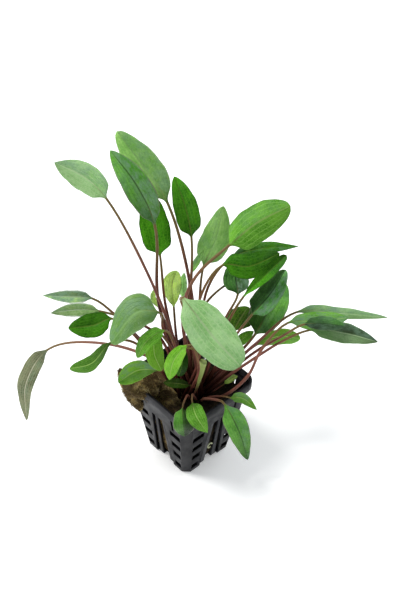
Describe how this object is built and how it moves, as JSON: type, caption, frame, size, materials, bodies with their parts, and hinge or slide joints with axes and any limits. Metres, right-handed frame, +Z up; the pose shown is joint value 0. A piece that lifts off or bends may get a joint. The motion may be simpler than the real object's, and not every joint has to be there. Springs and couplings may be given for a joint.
{
  "type": "potted cryptocoryne",
  "caption": "Aquarium plant with oval green leaves on long reddish petioles, rooted in rock wool in a small square black net pot.",
  "frame": {"origin": "centre of the pot's base, on the surface it stands on", "axes": "+Z up; the pot's sides are parallel to X and Y; the corner that faces the viewer in the picture is the +X -Y one"},
  "size_m": [0.1373, 0.155, 0.1825],
  "materials": {
    "pot_plastic": "dark moulded plastic with a dull sheen",
    "rock_wool": "damp brown mineral wool",
    "leaf": "smooth wet-looking green blade on a reddish petiole",
    "young_leaf": "pale rolled leaf",
    "root": "pale root"
  },
  "bodies": {
    "root": {"pot": "pot_plastic", "rock_wool": "rock_wool", "leaf_01": "leaf", "leaf_02": "leaf", "leaf_03": "leaf", "leaf_04": "leaf", "leaf_05": "leaf", "leaf_06": "leaf", "leaf_07": "leaf", "leaf_08": "leaf", "leaf_09": "leaf", "leaf_10": "leaf", "leaf_11": "leaf", "leaf_12": "leaf", "leaf_13": "leaf", "leaf_14": "leaf", "leaf_15": "leaf", "leaf_16": "leaf", "leaf_17": "leaf", "leaf_18": "leaf", "leaf_19": "leaf", "leaf_20": "leaf", "leaf_21": "leaf", "leaf_22": "leaf", "leaf_23": "leaf", "leaf_24": "leaf", "leaf_25": "leaf", "leaf_26": "leaf", "leaf_27": "leaf", "leaf_28": "leaf", "leaf_29": "leaf", "leaf_30": "leaf", "leaf_31": "leaf", "leaf_32": "leaf", "leaf_33": "leaf", "leaf_34": "leaf", "leaf_35": "leaf", "leaf_36": "leaf", "leaf_37": "leaf", "leaf_38": "leaf", "leaf_39": "leaf", "leaf_40": "leaf", "leaf_41": "leaf", "leaf_42": "leaf", "leaf_43": "leaf", "young_leaf": "young_leaf", "root_tip": "root"}
  },
  "joints": []
}
